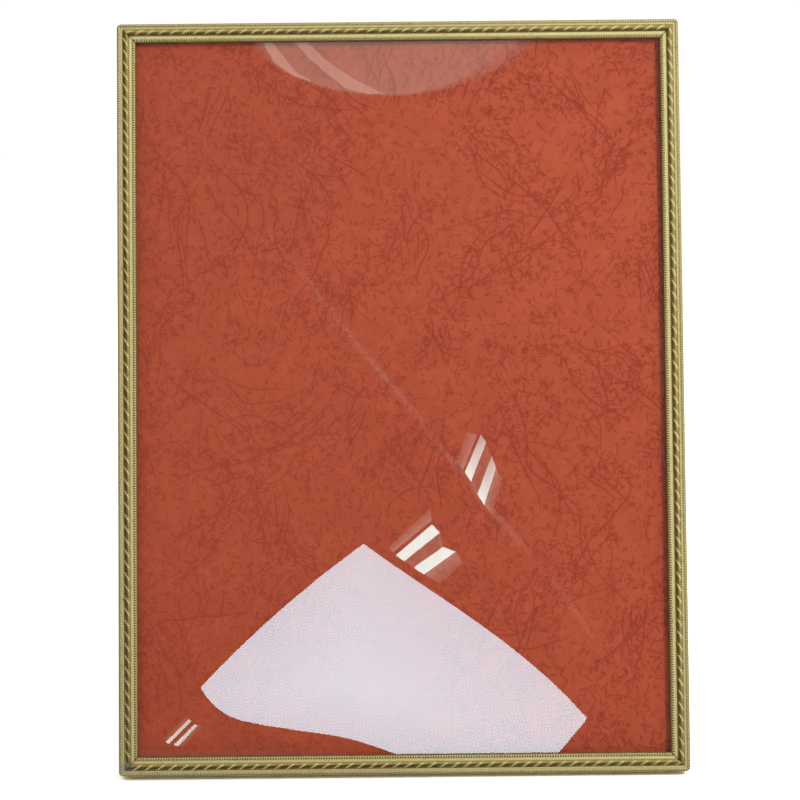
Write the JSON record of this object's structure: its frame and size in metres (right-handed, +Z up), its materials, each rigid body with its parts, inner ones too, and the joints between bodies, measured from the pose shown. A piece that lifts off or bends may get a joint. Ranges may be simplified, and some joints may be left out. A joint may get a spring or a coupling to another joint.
{
  "type": "display frame",
  "caption": "Standing glazed display frame with mitred rope-moulded brass rails, a red backing card, a latched back, a folding strut and a wall ring.",
  "frame": {"origin": "centre of the footprint, on the surface it stands on", "axes": "+Z up, the picture faces -Y and leans back 12 degrees towards +Y, +X to the viewer's right"},
  "size_m": [0.182, 0.0848, 0.2384],
  "materials": {
    "rope_brass": "aged satin",
    "plain_brass": "satin",
    "clear_glass": "clear, slightly wavy",
    "red_card": "leather-grain paper, matt",
    "grey_card": "matt",
    "hardboard": "pressed fibre, matt",
    "dark_paper": "leather-grain paper, low sheen",
    "tinned_steel": "dull tinned",
    "ribbon": "woven grosgrain"
  },
  "bodies": {
    "frame": {"rail_top": "rope_brass", "rail_bottom": "rope_brass", "rail_left": "rope_brass", "rail_right": "rope_brass", "corner_keys": "plain_brass", "glazing": "clear_glass", "insert_card": "red_card", "packing_card": "grey_card", "back_board": "hardboard", "back_cover": "dark_paper", "button_washers": "tinned_steel", "button_rivets": "plain_brass", "hinge_base": "tinned_steel", "hinge_rivets": "plain_brass", "hinge_pin": "tinned_steel", "stay_ribbon": "ribbon", "stay_rivet_back": "plain_brass", "hanger_strap": "plain_brass", "hanger_rivet": "plain_brass"},
    "strut": {"hinge_leaf": "tinned_steel", "strut_rivet": "plain_brass", "strut_board": "hardboard", "strut_cover": "dark_paper", "stay_rivet_strut": "plain_brass"},
    "wall_ring": {"hanger_ring": "plain_brass"},
    "button_1": {"turn_button_1": "plain_brass"},
    "button_2": {"turn_button_2": "plain_brass"},
    "button_3": {"turn_button_3": "plain_brass"},
    "button_4": {"turn_button_4": "plain_brass"}
  },
  "joints": [
    {"name": "strut_fold", "type": "hinge", "parent": "frame", "child": "strut", "pos_m": [0, -0.00247, 0.14666], "axis": [1, 0, 0], "range_deg": [-28, 0], "deforming": ["stay_ribbon"]},
    {"name": "ring_swing", "type": "hinge", "parent": "frame", "child": "wall_ring", "pos_m": [0, 0.01176, 0.21622], "axis": [1, 0, 0], "range_deg": [-15, 168]},
    {"name": "turn_button_1", "type": "hinge", "parent": "frame", "child": "button_1", "pos_m": [0.0835, -0.02223, 0.06089], "axis": [0, -0.9781, 0.2079], "range_deg": [0, 90]},
    {"name": "turn_button_2", "type": "hinge", "parent": "frame", "child": "button_2", "pos_m": [0.0835, 0.0023, 0.17632], "axis": [0, -0.9781, 0.2079], "range_deg": [0, 90]},
    {"name": "turn_button_3", "type": "hinge", "parent": "frame", "child": "button_3", "pos_m": [-0.0835, 0.0023, 0.17632], "axis": [0, 0.9781, -0.2079], "range_deg": [0, 90]},
    {"name": "turn_button_4", "type": "hinge", "parent": "frame", "child": "button_4", "pos_m": [-0.0835, -0.02223, 0.06089], "axis": [0, 0.9781, -0.2079], "range_deg": [0, 90]}
  ]
}
